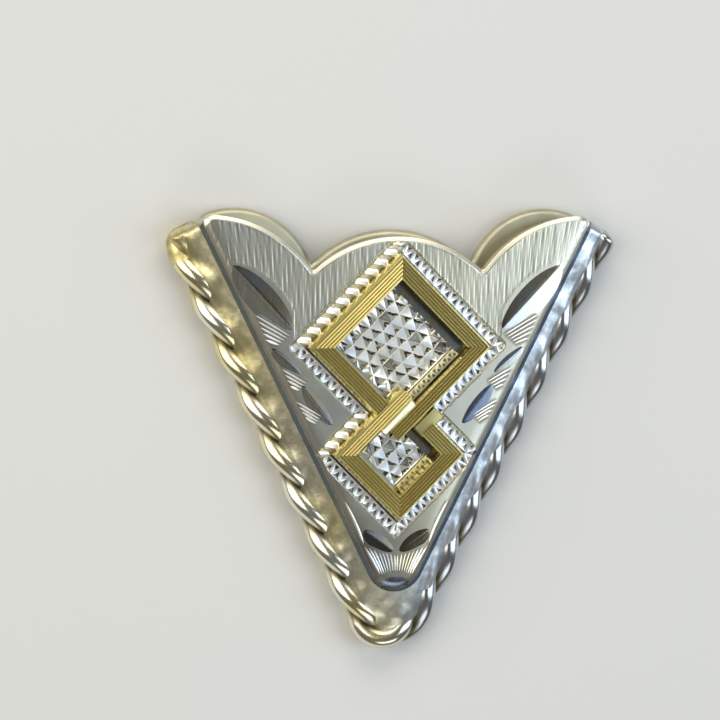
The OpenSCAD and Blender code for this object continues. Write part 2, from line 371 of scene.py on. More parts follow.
def block(centre, size, turn, rounding):
    made = bmesh.new()
    bmesh.ops.create_cube(made, size=1)
    bmesh.ops.scale(made, vec=size, verts=made.verts)
    if rounding:
        bevelled(made, made.edges[:], rounding, segments=4)
    bmesh.ops.rotate(made, matrix=Matrix.Rotation(turn, 3, "Z"), verts=made.verts)
    bmesh.ops.translate(made, vec=centre, verts=made.verts)
    return made


def finishPiece(name, made, materials, nodes, smooth):
    bmesh.ops.scale(made, vec=Vector((mm, mm, mm)), verts=made.verts)
    mesh = bpy.data.meshes.new(name)
    made.to_mesh(mesh)
    made.free()
    for material in materials:
        mesh.materials.append(material)
    mesh.polygons.foreach_set("use_smooth", [True] * len(mesh.polygons))
    mesh.set_sharp_from_angle(angle=math.radians(smooth))
    piece = newObject(name, mesh)
    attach(piece, "root")
    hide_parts(*nodes)
    print(name, "has", sum(len(p.vertices) - 2 for p in mesh.polygons), "triangles")


# distance outside the joint outline of the two squares
def outsideSquares(x, height):
    upper = (np.abs(x) + np.abs(height - upperH)) / rootTwo - squares["upper"] / 2
    lower = (np.abs(x) + np.abs(height - lowerH)) / rootTwo - squares["lower"] / 2
    return np.minimum(upper, lower)


# planes that touch an arc, each as a point and the way outwards; the arc is its first and last angle and the
# number of planes
def tangentCuts(centre, radius, arc):
    first, last, count = arc
    for k in range(count):
        turn = math.radians(first + (last - first) * k / (count - 1))
        outward = (math.cos(turn), math.sin(turn), 0)
        yield (centre[0] + radius * outward[0], centre[1] - middle + radius * outward[1], 0), outward


# the two planes along the sides, moved in by a width
def sideCuts(width):
    for side in (1, -1):
        yield (side * sideX(0, -width), -middle, 0), (side * sideCos, -sideSin, 0)


def cornerCentre(radius):
    lobeX, lobeR = lobeArc()
    lobeY = pocket["lobeHeight"] - lobeR
    k = -radius / sideCos - lobeX
    a, b = sideTan ** 2 + 1, 2 * (sideTan * k - lobeY)
    c = k * k + lobeY ** 2 - (lobeR - radius) ** 2
    height = (-b + math.sqrt(b * b - 4 * a * c)) / (2 * a)
    return sideX(height, -radius), height


# the face: its rounded rim and sides, its grid, the fine lines, where it is sunk below the cuts, the painted
# shade of its lines and plain parts, and where a painted blue reflection lies at the tip
face = {"rimWidth": 0.37, "rimDrop": 0.12, "rimRound": 0.05, "rimLip": 0.03, "rimSlope": 0.3,
        "valleySoft": 0.15, "valleyRound": 0.3, "cornerFrom": 0.06,
        "sideDrop": 0.26, "sideRound": 0.65, "sideShare": 0.7, "crownWidth": 1.3,
        "inset": 0.01, "reach": 16.9, "lowest": 3.6, "rows": 190, "rimRows": 8, "rimShare": 0.015,
        "spare": 0.4, "cornerArc": (88, -20, 9), "tipArc": (208, 332, 9), "skinDepth": 0.42,
        "linesAcross": 84, "lineDepth": 0.022, "faintest": 0.6, "varied": 0.7, "mostLines": 100, "seed": 3,
        "wanderMean": 0.9, "wander": 0.2, "wanderPerMm": 1.9, "wanderPerLine": 2.4,
        "fan": 0.26, "fanStart": 6.5, "fanGrowth": 10, "fanPower": 1.5, "fanRun": 7.0,
        "offLeaf": 0.04, "pastLeaf": 0.1, "belowLeaf": 0.5, "offSide": 0.12,
        "sunk": 0.16, "sunkLess": 0.2, "sunkOffRim": 0.1, "sunkOffSide": 0.3,
        "lineShade": 0.5, "plainShade": 0.6, "plainMiddle": 0.7, "plainRun": 9, "plainLeast": 0.25,
        "tipShade": 0.3, "tipFrom": 10.5, "tipRun": 3, "shadeEdge": 8, "blueBelow": 4.75, "blueCurve": 0.35}
sideInset = pocket["slopeWidth"] * (1 - face["sideDrop"] / pocket["slopeHeight"])
faceMetals = [engravedSilver, pitSilver, slopeSilver, leafDark, leafLight, ridgeSilver, warmSilver,
              blueSilver, rimSilver]
# leaves, each two low facets that meet in a keel between the ends
leaves = [{"start": (13.5, 29.85), "end": (8.5, 24.55), "over": 1.45, "under": 1.35, "rise": 0.05},
          {"start": (10.4, 23.2), "end": (7.9, 21.1), "over": 0.55, "under": 0.55, "rise": 0.04},
          {"start": (7.9, 20.3), "end": (5.3, 17.0), "over": 0.6, "under": 0.95, "rise": 0.05},
          {"start": (2.75, 8.5), "end": (0.2, 6.75), "over": 0.75, "under": 0.75, "rise": 0.06}]
# groups of strokes: the ends of the first and of the last one
strokes = [{"first": ((11.75, 25.9), (8.6, 24.05)), "last": ((10.85, 23.9), (9.6, 23.45)), "count": 5},
           {"first": ((9.5, 21.55), (7.3, 20.3)), "last": ((8.85, 20.2), (8.0, 19.85)), "count": 4},
           {"first": ((8.35, 18.95), (6.0, 17.6)), "last": ((7.6, 17.7), (6.6, 17.15)), "count": 4},
           {"first": ((4.3, 10.9), (3.1, 8.6)), "last": ((3.5, 9.5), (2.7, 7.4)), "count": 3},
           {"first": ((2.6, 7.2), (1.3, 4.9)), "last": ((0.12, 6.6), (0.08, 4.9)), "count": 8}]
stroke = {"width": 0.22, "rise": 0.035, "grid": (6, 4), "spread": 0.38, "shade": 0.75, "fadeAside": 5,
          "halfLength": 0.52, "fadeEnds": 8, "dullBelow": 7}
# what leaves and strokes share: the arch of their outline, a dip beside the keel and how deep they reach
raised = {"archPower": 0.6, "edgeUnder": 0.02, "dip": 0.15, "dipWidth": 0.4, "foot": 0.12,
          "leafGrid": (20, 10)}
# zigzag cuts: rows of flat triangles with painted shade, each inside ridges with a painted highlight; the
# upper left bands have teeth
border = {"gap": 0.12, "width": 1.0, "pitch": 0.88, "ridge": 0.30, "rise": 0.10, "lean": 0.5, "stray": 0.06,
          "tilt": 0.10, "foot": 0.3, "bright": False, "shadeWidth": 0.7, "shadeUnder": 0.1,
          "mouthArc": (60, 120, 9)}
window = {**border, "pitch": 0.98, "row": 1.02, "ridge": 0.08, "rise": 0.16, "stray": 0.09, "poke": 0.7,
          "bright": True, "shadeRight": 0.2, "shadeLow": 0.15}
ticks = {**border, "pitch": 0.6, "width": 0.65, "gap": -0.1, "ridge": 0.2, "rise": 0.06}
# rounded teeth along the upper left bars: spacing, length, width, height, turn of their length
teeth = {"spacing": 1.1, "size": (1.25, 0.74, 0.56), "round": 0.24, "proud": 0.1, "turn": -8, "lean": 0.4,
         "inwards": 0.1}
# plain margins between a window's cuts and the bars
margins = {"upperLeft": 0.12, "lowerLeft": 0.35, "upperRight": 0.8, "lowerRight": 0.7}


# distance inwards from the side that is moved in by a width, round the tip too
def inFromSide(x, height, width):
    straight = (sideX(height, -width) - np.abs(x)) * sideCos
    radius = pocket["tipRadius"] - width
    down = tipCentre(-width, radius) - height
    return np.where(down > np.abs(x) * sideTan, radius - np.hypot(x, down), straight)


# distance inwards from the scalloped mouth and its outer corners
def inFromMouth(x, height):
    step = 0.01
    slope = (mouthHeight(x + step, 0) - mouthHeight(x - step, 0)) / (2 * step)
    depth = (mouthHeight(x, 0) - height) / np.sqrt(1 + slope ** 2)
    radius = pocket["cornerRadius"]
    cornerX, cornerH = cornerCentre(radius)
    across, up = np.abs(x) - cornerX, height - cornerH
    inCorner = (up > -across * sideTan) & (across > -face["cornerFrom"] * up)
    return np.where(inCorner, np.minimum(depth, radius - np.hypot(across, up)), depth)


def archOf(share):
    return (4 * share * (1 - share)) ** raised["archPower"]


def alongChord(x, height, start, end):
    length = math.hypot(end[0] - start[0], end[1] - start[1])
    ux, uy = (end[0] - start[0]) / length, (end[1] - start[1]) / length
    share = ((x - start[0]) * ux + (height - start[1]) * uy) / length
    return share, (x - start[0]) * uy - (height - start[1]) * ux


# where the fine lines run: above the large leaf and outside the zigzag border
def lineMask(x, height, mouth):
    aside = np.abs(x)
    start, end = leaves[0]["start"], leaves[0]["end"]
    share, above = alongChord(aside, height, start, end)
    arch = archOf(held(share))
    mask = (above > leaves[0]["over"] * arch + face["offLeaf"]) & (share < 1)
    mask |= (share <= 0) & (height > start[1])
    mask |= (aside < end[0] + face["pastLeaf"]) & (height > end[1] - face["belowLeaf"])
    mask &= outsideSquares(x, height) > border["gap"] + border["width"]
    side = inFromSide(x, height, pocket["slopeWidth"])
    return mask & (mouth > face["rimWidth"]) & (side > face["offSide"])


# level of the face where it rounds over at the sides and falls to the rim
def edgeLevel(x, height, mouth):
    side = inFromSide(x, height, sideInset)
    near = held(1 - side / face["sideRound"])
    crown = held(1 - side / face["crownWidth"])
    rim = held((face["rimWidth"] - face["rimLip"] - mouth) / face["rimSlope"])
    edge = held(1 - mouth / face["rimRound"])
    level = -face["sideDrop"] * (face["sideShare"] * near ** 2 + (1 - face["sideShare"]) * crown ** 2)
    return level - face["rimDrop"] * rim - face["rimRound"] * (1 - np.sqrt(1 - edge ** 2))


# share of the fine lines' depth: no two lines are cut alike, and each one varies along its run
def lineShare(height, column):
    line = np.floor(column)
    strengths = np.random.default_rng(face["seed"]).random(2 * face["mostLines"])
    strength = (face["faintest"] + face["varied"] * strengths)[line.astype(int) + face["mostLines"]]
    wander = np.sin(height * face["wanderPerMm"] + line * face["wanderPerLine"])
    groove = 1 - np.abs(column - line - 0.5) * 2
    return groove * strength * (face["wanderMean"] + face["wander"] * wander)


# painted shade: the plain parts are darker on the left and near the tip
def plainDullness(x, height, mouth):
    left = np.clip(face["plainMiddle"] - x / face["plainRun"], face["plainLeast"], 1)
    tip = held((face["tipFrom"] - height) / face["tipRun"])
    dull = face["plainShade"] * left + face["tipShade"] * tip
    return dull * held((mouth - face["rimWidth"]) * face["shadeEdge"])


def strokeShade(x, height, start, end):
    share, above = alongChord(np.abs(x), height, start, end)
    beside = held((stroke["spread"] - np.abs(above)) * stroke["fadeAside"])
    within = held((stroke["halfLength"] - np.abs(share - 0.5)) * stroke["fadeEnds"])
    return stroke["shade"] * (beside * within)


# level and painted shade of spots of the face
def faceLevel(x, height, column):
    mouth = inFromMouth(x, height)
    lined = lineMask(x, height, mouth)
    lines = np.where(lined, lineShare(height, column), 0)
    # the face lies a little lower below the zigzag cuts
    sunk = outsideSquares(x, height) < border["gap"] + border["width"] - face["sunkLess"]
    sunk &= mouth > face["rimWidth"] + face["sunkOffRim"]
    sunk &= inFromSide(x, height, pocket["slopeWidth"]) > face["sunkOffSide"]
    level = edgeLevel(x, height, mouth) - face["lineDepth"] * lines - np.where(sunk, face["sunk"], 0)
    dark = np.where(lined, held(lines * face["lineShade"]), plainDullness(x, height, mouth))
    for start, end in everyStroke():
        dark = np.maximum(dark, strokeShade(x, height, start, end))
    return level, dark


def engravedSkin():
    inset = face["inset"]

    def place(u, v):
        start = (u * 2 - 1) * face["reach"]
        top = mouthHeight(start, inset)
        # rows lie closer together at the rounded rim
        share = np.interp(1 - v, [0, face["rimRows"] / face["rows"], 1], [0, face["rimShare"], 1])
        below = share * (top - face["lowest"])
        grown = held((np.abs(start) - face["fanStart"]) / face["fanGrowth"])
        fan = face["fan"] * grown ** face["fanPower"]
        x = start - np.sign(start) * fan * face["fanRun"] * np.tanh(below / face["fanRun"])
        column = start / face["reach"] * face["linesAcross"]
        return np.column_stack([x, top - below - middle, np.full(len(x), faceTop), column])

    made = shapedGrid(4 * face["linesAcross"], face["rows"], place, tag="column")
    columnLayer = made.verts.layers.float["column"]
    cutLayer = made.verts.layers.float.new("cut")
    spare = [v for v in made.verts if abs(v.co.x) > sideX(v.co.y + middle, -sideInset) + face["spare"]]
    bmesh.ops.delete(made, geom=spare, context="VERTS")
    for point, outward in sideCuts(sideInset + inset):
        cutAway(made, point, outward)
    radius = pocket["cornerRadius"]
    for side in (1, -1):
        for point, outward in tangentCuts(cornerCentre(radius), radius - inset, face["cornerArc"]):
            cutAway(made, (side * point[0], *point[1:]), (side * outward[0], *outward[1:]))
    tipRadius = pocket["tipRadius"] - sideInset
    tip = (0, tipCentre(-sideInset, tipRadius))
    for point, outward in tangentCuts(tip, tipRadius - inset, face["tipArc"]):
        cutAway(made, point, outward)
    points = np.array([v.co for v in made.verts])
    columns = np.array([v[columnLayer] for v in made.verts])
    # the darkness kept on each vertex is painted shade
    for vertex, rise, dark in zip(made.verts, *faceLevel(points[:, 0], points[:, 1] + middle, columns)):
        vertex.co.z = faceTop + rise
        vertex[cutLayer] = dark
    closeBelow(made, faceTop - face["skinDepth"])
    return made


def everyStroke():
    for group in strokes:
        for k in range(group["count"]):
            step = k / (group["count"] - 1)
            yield [[a + (b - a) * step for a, b in zip(one, other)]
                   for one, other in zip(group["first"], group["last"])]


# a point of the right half of the face, or its mirror image
def onFace(point, side):
    return Vector((side * point[0], point[1] - middle))


# a low form with a keel from one end to the other; over and under are its widths on either side
def raisedForm(start, end, over, under, rise, side, grid):
    start, end = onFace(start, side), onFace(end, side)
    along = end - start
    up = Vector((along.y, -along.x)).normalized() * side

    def place(u, v):
        arch = archOf(held(u))
        aside = v * 2 - 1
        bulge = np.where(aside > 0, over, under) * arch * aside
        x = start.x + along.x * u + up.x * bulge
        y = start.y + along.y * u + up.y * bulge
        level = (rise + raised["edgeUnder"]) * (1 - np.abs(aside)) * np.sqrt(arch) - raised["edgeUnder"]
        dipped = (aside < 0) & (aside > -raised["dipWidth"])
        return np.column_stack([x, y, faceTop + (level - np.where(dipped, raised["dip"] * rise * arch, 0))])

    made = shapedGrid(*grid, place)
    bmesh.ops.remove_doubles(made, verts=made.verts, dist=nodeWeld)
    closeBelow(made, faceTop - raised["foot"])
    return made


# the leaves take lit and shaded copies of the silver: painted shade on the half towards the mouth and on the
# pair at the tip all over, a painted highlight on the other half of the large right leaf, and a painted blue
# reflection on parts of the other right leaves
def leafMetal(leaf, side, towardsMouth):
    dark = leaf is leaves[-1] or towardsMouth
    if side > 0 and leaf is leaves[0]:
        return leafDark if dark else ridgeSilver
    if side > 0 and leaf is not leaves[-1] and (dark or leaf is leaves[2]):
        return blueSilver
    return leafDark if dark else leafLight


def leavesAndStrokes():
    made = bmesh.new()
    half = stroke["width"] / 2
    for side in (1, -1):
        for leaf in leaves:
            form = raisedForm(**leaf, side=side, grid=raised["leafGrid"])
            start = onFace(leaf["start"], side)
            along = onFace(leaf["end"], side) - start
            up = Vector((along.y, -along.x)) * side
            for one in form.faces:
                towardsMouth = (one.calc_center_median().xy - start).dot(up) > 0
                paint([one], faceMetals, leafMetal(leaf, side, towardsMouth))
            joinInto(made, form)
        for start, end in everyStroke():
            form = raisedForm(start, end, half, half, stroke["rise"], side, stroke["grid"])
            # the strokes take a painted highlight, those near the tip the lighter leaf silver
            paint(form.faces, faceMetals, ridgeSilver if start[1] > stroke["dullBelow"] else leafLight)
            joinInto(made, form)
    return made


# rows of cut triangles from a corner, along and across, that end at some planes
def zigzag(origin, along, across, length, width, rows, cuts, ends, ridgeMetal=ridgeSilver):
    count = math.ceil(length / cuts["pitch"]) + 2

    def place(u, v):
        row = np.round(v * rows)
        s = (u * count - 1) * cuts["pitch"] + (row % 2) * cuts["pitch"] * cuts["lean"]
        level = np.outer(s, along) + np.outer(v * width, across) + np.array(origin)
        return np.column_stack([level, np.full(len(level), faceTop)])

    made = shapedGrid(count, rows, place)
    bmesh.ops.triangulate(made, faces=made.faces, quad_method="SHORT_EDGE")
    bmesh.ops.recalc_face_normals(made, faces=made.faces)
    if sum(f.normal.z for f in made.faces) < 0:
        bmesh.ops.reverse_faces(made, faces=made.faces)
    for vertex in made.verts:
        if not vertex.is_boundary:
            vertex.co.xy += Vector((random.uniform(-1, 1), random.uniform(-1, 1))) * cuts["stray"]
    pits = made.faces[:]
    if cuts["bright"]:
        # only the half of each cell towards the lower right is a pit with painted shade, the other half is a
        # hollow with a painted highlight
        levels = [(one.calc_center_median().xy - Vector(origin).xy).dot(across) / width * rows % 1
                  for one in pits]
        hollows = [one for one, level in zip(pits, levels) if level > 0.5]
        pits = [one for one, level in zip(pits, levels) if level <= 0.5]
    paint(made.faces, faceMetals, ridgeMetal)
    bmesh.ops.inset_individual(made, faces=pits, thickness=cuts["ridge"] / 2, depth=-cuts["rise"],
                               use_even_offset=True)
    for pit in pits:
        turn, tilt = random.uniform(0, 2 * math.pi), random.uniform(0.0, cuts["tilt"])
        centre = pit.calc_center_median()
        for vertex in pit.verts:
            offset = vertex.co - centre
            vertex.co.z += (offset.x * math.cos(turn) + offset.y * math.sin(turn)) * tilt
    paint(pits, faceMetals, leafDark if cuts["bright"] else pitSilver)
    if cuts["bright"]:
        # one hollow in four or so is duller
        for hollow in hollows:
            paint([hollow], faceMetals, random.choice((ridgeMetal, ridgeMetal, ridgeMetal, leafLight)))
        bmesh.ops.poke(made, faces=hollows, offset=-cuts["poke"] * cuts["rise"])
    for point, outward in ends:
        cutAway(made, point, outward)
    closeBelow(made, faceTop - cuts["foot"])
    return made


# rounded teeth in a row, each turned so that it lies level in the view
def toothRow(origin, along, outward, length, ends):
    made = bmesh.new()
    for k in range(round(length / teeth["spacing"])):
        spot = origin + along * teeth["spacing"] * (k + 0.5)
        place = Vector((spot.x, spot.y, faceTop + teeth["proud"] - teeth["size"][2] / 2))
        tooth = block(place, teeth["size"], math.radians(teeth["turn"]), teeth["round"])
        for vertex in tooth.verts:
            vertex.co.z -= (vertex.co.xy - spot).dot(outward) * teeth["lean"]
        joinInto(made, tooth)
    # the teeth take a painted highlight
    paint(made.faces, faceMetals, ridgeSilver)
    for point, outward in ends:
        cutAway(made, point, outward)
    closeHoles(made)
    return made


def inPlane(vector):
    return (vector.x, vector.y, 0)


# the four bands round a square; those of both squares meet level with the crossings
def bandsRound(centre, side, waistwards):
    made = bmesh.new()
    reach = border["gap"] + border["width"]
    middleCentre, middleR = middleArc()
    for turn in (45, 135, 225, 315):
        outward = Vector((math.cos(math.radians(turn)), math.sin(math.radians(turn))))
        along = Vector((-outward.y, outward.x))
        half = side / 2 + reach
        ends = [(inPlane(centre), inPlane(along - outward)), (inPlane(centre), inPlane(-along - outward))]
        if outward.y * waistwards > 0:
            ends.append(((0, crossH - middle, 0), (0, waistwards, 0)))
        elif waistwards < 0:
            ends += tangentCuts((0, middleCentre), middleR - face["rimWidth"], border["mouthArc"])
        ends += sideCuts(pocket["slopeWidth"] + face["offSide"])
        start = centre + outward * (side / 2 + border["gap"]) - along * half
        if turn == 135:
            inside = outward * (border["width"] / 2 - teeth["inwards"])
            joinInto(made, toothRow(start + inside, along, outward, 2 * half, ends))
        else:
            joinInto(made, zigzag(start, along, outward, 2 * half, border["width"], 1, border, ends))
    return made


# the cuts inside a square, with plain margins along its bars and fine ticks along the lower right one
def windowCuts(centre, side):
    inner = side / 2 - squares["barWidth"]
    along, across = Vector((1, 1)) / rootTwo, Vector((-1, 1)) / rootTwo
    start = centre + along * (margins["lowerLeft"] - inner) + across * (margins["lowerRight"] - inner)
    length = 2 * inner - margins["lowerLeft"] - margins["upperRight"]
    width = 2 * inner - margins["lowerRight"] - margins["upperLeft"]
    ends = [(inPlane(start + along * length), inPlane(along)), (inPlane(start), inPlane(-along))]
    made = zigzag(start, along, across, length, width, round(width / window["row"]), window, ends)
    start = centre + along * (margins["lowerLeft"] - inner) + across * (ticks["gap"] - inner)
    # the ticks' ridges take a painted reflection of the gold bar beside them
    joinInto(made, zigzag(start, along, across, length, ticks["width"], 1, ticks, ends, warmSilver))
    return made


def zigzags():
    made = bmesh.new()
    for height, side, waistwards in ((upperH, squares["upper"], -1), (lowerH, squares["lower"], 1)):
        centre = Vector((0, height - middle))
        joinInto(made, bandsRound(centre, side, waistwards))
        joinInto(made, windowCuts(centre, side))
    return made


# the metal of a spot on top of the face, with painted shade in the windows' margins along the right bars and
# under the bands, a painted reflection of the gold beside the upper left bands, and a painted blue reflection
# at the tip
def skinMetal(spot):
    height = spot.y + middle
    outside = outsideSquares(spot.x, height)
    centre, half = (upperH, squares["upper"] / 2) if height > crossH else (lowerH, squares["lower"] / 2)
    inner = half - squares["barWidth"]
    up, down = (spot.x + height - centre) / rootTwo, (spot.x - height + centre) / rootTwo
    if outside < -squares["barWidth"]:
        besideUpper = up > inner - margins["upperRight"] - window["shadeRight"]
        return leafDark if besideUpper or down > inner - window["shadeLow"] else engravedSilver
    if outside < border["gap"] + border["shadeWidth"] and spot.z < faceTop - border["shadeUnder"]:
        return warmSilver if down < -half else pitSilver
    if inFromMouth(spot.x, height) < face["rimWidth"]:
        return rimSilver
    if height < face["blueBelow"] - face["blueCurve"] * spot.x ** 2:
        return blueSilver
    return engravedSilver


# how the valleys' edges, the side slopes and the top of the face are found, in mm and as parts of a normal
marks = {"valleyNear": 0.02, "valleyClimb": 0.5, "slopeTipward": -0.05, "slopeSteep": 0.9, "top": 0.5}


def frontPlate():
    made = copyOf("front_plate")
    valleys = [e for e in made.edges if climb(e) > marks["valleyClimb"]
               and all(abs(abs(v.co.x) - valleyX()) < marks["valleyNear"] for v in e.verts)]
    bevelled(made, valleys, face["valleyRound"], segments=5)
    cutAway(made, (0, 0, faceTop - face["sideDrop"]), (0, 0, 1))
    closeHoles(made)
    # the side slopes take painted shade and, on the right, a painted blue reflection
    slopes = [one for one in made.faces
              if one.normal.y < marks["slopeTipward"] and abs(one.normal.z) < marks["slopeSteep"]]
    paint(slopes, faceMetals, slopeSilver)
    skin = engravedSkin()
    for one in skin.faces:
        if one.normal.z >= marks["top"]:
            paint([one], faceMetals, skinMetal(one.calc_center_median()))
    for part in (skin, leavesAndStrokes(), zigzags()):
        joinInto(made, part)
    finishPiece("engravedFront", made, faceMetals, ["front_plate"], smooth=20)


frontPlate()

# back plate: its mouth is rounded over, but not the bore for the screw
back = {"round": 0.5, "segments": 7, "offScrew": 3, "nearTop": 0.01, "nearSquare": 0.1}


def backPlate():
    made = copyOf("back_plate")
    screw = Vector((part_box("clamp_screw")[0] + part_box("clamp_screw")[1])) / 2 / mm
    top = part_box("back_plate")[1].z / mm - back["nearTop"]
    square = [e for e in made.edges if abs(e.calc_face_angle(0) - math.pi / 2) < back["nearSquare"]]
    outer = [e for e in square if all(v.co.z > top for v in e.verts)
             and (e.verts[0].co.xy - screw.xy).length > back["offScrew"]]
    bevelled(made, outer, back["round"], back["segments"])
    finishPiece("backPlate", made, [plainSilver], ["back_plate"], smooth=40)


backPlate()

# wire edge: two round strands, twisted
wire = {"radius": 1.43, "out": 1.35, "strand": 0.92, "bendRadius": 2.2, "endDrop": 1.2, "lay": 8.4,
        "startTurn": 72, "sides": 48, "rings": 640, "covered": 2.5, "lift": 0.005,
        "endRound": 0.8, "endLeast": 0.3, "grooveFrom": 0.95, "grooveRun": 0.5}
wireMetals = [strandSilver, solderSilver]
wireBend = tipCentre(wire["out"], wire["bendRadius"])
wireEnd = pocket["lobeHeight"] - wire["endDrop"]
bendSweep = math.radians(180 - 2 * pocket["sideAngle"])
straightRun = (wireEnd - wireBend + wire["bendRadius"] * sideSin) / sideCos
wireLength = 2 * straightRun + wire["bendRadius"] * bendSweep
halfTurns = round(2 * wireLength / wire["lay"])


# points along a run down the left side, round the tip and up the right, at a distance out
def runPoints(share, centre, radius, straight):
    total = 2 * straight + radius * bendSweep
    s = share * total
    turn = math.pi + math.radians(pocket["sideAngle"]) + np.clip((s - straight) / radius, 0, bendSweep)
    away = np.maximum(straight - s, 0) + np.maximum(s - straight - radius * bendSweep, 0)
    x = radius * np.cos(turn) + np.where(s < straight, -sideSin, sideSin) * away
    y = centre + radius * np.sin(turn) + sideCos * away
    return x, y - middle, turn


# 1 away from the ends of the wire, falling in a round to 0 at them
def endDome(share, run):
    toEnd = held(1 - wireLength * np.minimum(share, 1 - share) / run)
    return np.sqrt(1 - toEnd ** 2)


def strands():
    def place(u, v):
        x, y, turn = runPoints(u, wireBend, wire["bendRadius"], straightRun)
        offset = wire["radius"] - wire["strand"]
        a = v * 2 * np.pi
        lean = np.abs(np.mod(a + np.pi / 2, np.pi) - np.pi / 2)
        reach = offset * np.cos(lean) + np.sqrt(wire["strand"] ** 2 - (offset * np.sin(lean)) ** 2)
        reach = reach * np.maximum(endDome(u, wire["endRound"]), wire["endLeast"])
        turned = a + math.radians(wire["startTurn"]) + np.pi * halfTurns * u
        out, up = reach * np.cos(turned), reach * np.sin(turned)
        # painted shade: darker in the creases between the strands
        groove = held((lean - wire["grooveFrom"]) / wire["grooveRun"])
        level = wire["radius"] + wire["lift"] + up
        return np.column_stack([x + out * np.cos(turn), y + out * np.sin(turn), level, groove])

    made = shapedGrid(wire["rings"], wire["sides"], place, wrap=True, tag="groove")
    closeHoles(made)
    return made


# solder: a lumpy fillet from the foot of the slope down onto the wire. It starts further up the left slope,
# and soft ridges in it follow the strands. It is lower and narrower at both ends
fillet = {"leftIn": 0.24, "rightIn": 0.04, "top": 3.02, "outs": (0.9, 1.35, 2.0), "levels": (2.84, 2.55, 1.7),
          "foot": 1.0, "along": 720, "across": 26, "bendShare": 0.1,
          "lump": 0.035, "waves": 26, "waveLeast": 1.2, "waveMore": 5, "waveShare": 9, "lumpEdge": 5,
          "seed": 11, "turnUpTo": 7,
          "twist": 0.30, "twistFrom": 0.1, "twistRun": 0.9,
          "endOn": 0.7, "endRound": 0.8, "endIn": 0.3, "endDrop": 1.2}
# granules of solder at the tip: x, height over the point of the sides, radius
granules = [(0.1, 2.91, 0.2), (0.69, 2.48, 0.17), (-0.49, 3.42, 0.22), (1.11, 2.23, 0.15), (-1.16, 3.6, 0.18),
            (1.52, 2.95, 0.2)]
granuleTop = 2.95


# uneven waves that run in many directions
def lumpsOver(x, y):
    rng = np.random.default_rng(fillet["seed"])
    lumps = np.zeros_like(x)
    for k in range(fillet["waves"]):
        turn = rng.random() * fillet["turnUpTo"]
        size = fillet["waveLeast"] + fillet["waveMore"] * rng.random()
        phase = rng.random() * fillet["turnUpTo"]
        lumps = lumps + np.sin((x * math.cos(turn) + y * math.sin(turn)) * size + phase) / fillet["waveShare"]
    return lumps


def solder():
    outerOut = fillet["outs"][-1]
    outerRadius = wire["bendRadius"] + outerOut - wire["out"]
    bend = fillet["bendShare"]

    # the same share of u is spent on the bend of either line
    def share(u, straight, radius):
        total = 2 * straight + radius * bendSweep
        past = held((u - 0.5 + bend) / (2 * bend)) * radius * bendSweep
        ends = np.minimum(u, 1 - u) / (0.5 - bend) * straight
        return np.where(u < 0.5 - bend, ends, np.where(u > 0.5 + bend, total - ends, straight + past)) / total

    def place(u, v):
        dome = endDome(u, fillet["endRound"])
        v = v * (1 - fillet["endIn"] * (1 - dome))
        innerOut = -np.interp(u, [0.5 - bend, 0.5 + bend], [fillet["leftIn"], fillet["rightIn"]])
        innerRadius = pocket["tipRadius"] + innerOut
        innerCentre = tipCentre(innerOut, innerRadius)
        innerStraight = (wireEnd + fillet["endOn"] - innerCentre + innerRadius * sideSin) / sideCos
        innerShare, along = share(u, innerStraight, innerRadius), share(u, straightRun, outerRadius)
        xi, yi, turn = runPoints(innerShare, innerCentre, innerRadius, innerStraight)
        xo, yo, turn = runPoints(along, wireBend, outerRadius, straightRun)
        x, y = xi + (xo - xi) * v, yi + (yo - yi) * v
        out = innerOut + (outerOut - innerOut) * v
        start = fillet["top"] - innerOut * pocket["slopeHeight"] / pocket["slopeWidth"]
        first, firstLevel = fillet["outs"][0], fillet["levels"][0]
        upper = start + (firstLevel - start) * (out - innerOut) / (first - innerOut)
        level = np.where(out < first, upper, np.interp(out, fillet["outs"], fillet["levels"]))
        level = level + fillet["lump"] * lumpsOver(x, y) * held(v * fillet["lumpEdge"])
        # the strands show through
        turned = math.radians(wire["startTurn"]) + np.pi * halfTurns * along
        aim = np.arctan2(level - wire["radius"], out - wire["out"])
        near = held((out - fillet["twistFrom"]) / fillet["twistRun"])
        level = level + fillet["twist"] * (np.cos(aim - turned) ** 2 - 0.5) * near
        return np.column_stack([x, y, level - fillet["endDrop"] * (1 - dome)])

    made = shapedGrid(fillet["along"], fillet["across"], place)
    closeBelow(made, fillet["foot"])
    for x, height, radius in granules:
        ball = bmesh.new()
        bmesh.ops.create_icosphere(ball, subdivisions=2, radius=radius)
        bmesh.ops.translate(ball, vec=(x, height - middle, granuleTop - radius), verts=ball.verts)
        joinInto(made, ball)
    return made


def wireEdge():
    made = strands()
    # solder covers the left end
    x, y, turn = runPoints(0, wireBend, wire["bendRadius"], straightRun)
    for one in made.faces:
        spot = one.calc_center_median()
        if (spot.x - x) * sideSin + (y - spot.y) * sideCos < wire["covered"]:
            paint([one], wireMetals, solderSilver)
    poured = solder()
    paint(poured.faces, wireMetals, solderSilver)
    joinInto(made, poured)
    finishPiece("wireEdge", made, wireMetals, ["rope_edge"], smooth=60)


wireEdge()

# bars of the squares: an outer slope, a bright ridge and fine grooves. Every groove is shallow on its outer
# side and steep on its inner side
bar = {"foot": 0.3, "slope": 0.2, "ridge": 0.09, "pitch": 0.235, "steep": 0.05, "shallow": 0.165,
       "grooveDepth": 0.085, "below": 0.03, "narrower": 0.25, "lip": 0.05, "outerLip": 0.03, "innerLip": 0.02}
# where the squares cross: the low part of a bar passes under the other square, and a bar that stops short
# of it reaches a little way in
crossing = {"lowLength": 2.6, "lowShift": 0.3, "lowNarrower": 0.02, "lowUnder": 0.05, "upperOn": 0.12,
            "lowerOn": 0.2}
goldMetals = [gold, brightGold, dullGold]
